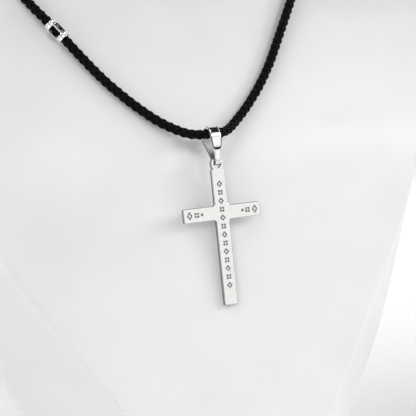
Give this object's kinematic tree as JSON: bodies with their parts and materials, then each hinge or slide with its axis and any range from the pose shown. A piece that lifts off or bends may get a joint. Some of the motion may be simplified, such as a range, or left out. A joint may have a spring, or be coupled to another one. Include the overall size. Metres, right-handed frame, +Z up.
{
  "type": "cross pendant on a braided cord, worn on a neck bust",
  "caption": "Flat engraved silver cross on a tapered bail, hanging from a braided cord with an open bead, worn on a plain white neck bust.",
  "frame": {"origin": "middle of the bust's flat foot, on the surface it stands on", "axes": "+Z up, the bust and the cross face -Y, +X is to the right of a viewer in front"},
  "size_m": [0.144, 0.0954, 0.157],
  "materials": {
    "bust_white": "smooth satin white",
    "cord_black": "tight round braid, faint sheen",
    "silver": "polished silver, engraving greyed"
  },
  "bodies": {
    "bust_and_cord": {"bust": "bust_white", "cord": "cord_black", "cage_bead": "silver", "clasp": "silver"},
    "bail": {"bail": "silver"},
    "cross": {"cross": "silver"}
  },
  "joints": [
    {"name": "bail_swing", "type": "hinge", "parent": "bust_and_cord", "child": "bail", "pos_m": [0, -0.02, 0.095], "axis": [-1, 0, 0], "range_deg": [0, 80]},
    {"name": "cross_swing", "type": "hinge", "parent": "bail", "child": "cross", "pos_m": [0, -0.02296, 0.09007], "axis": [-1, 0, 0], "range_deg": [0, 60]}
  ]
}
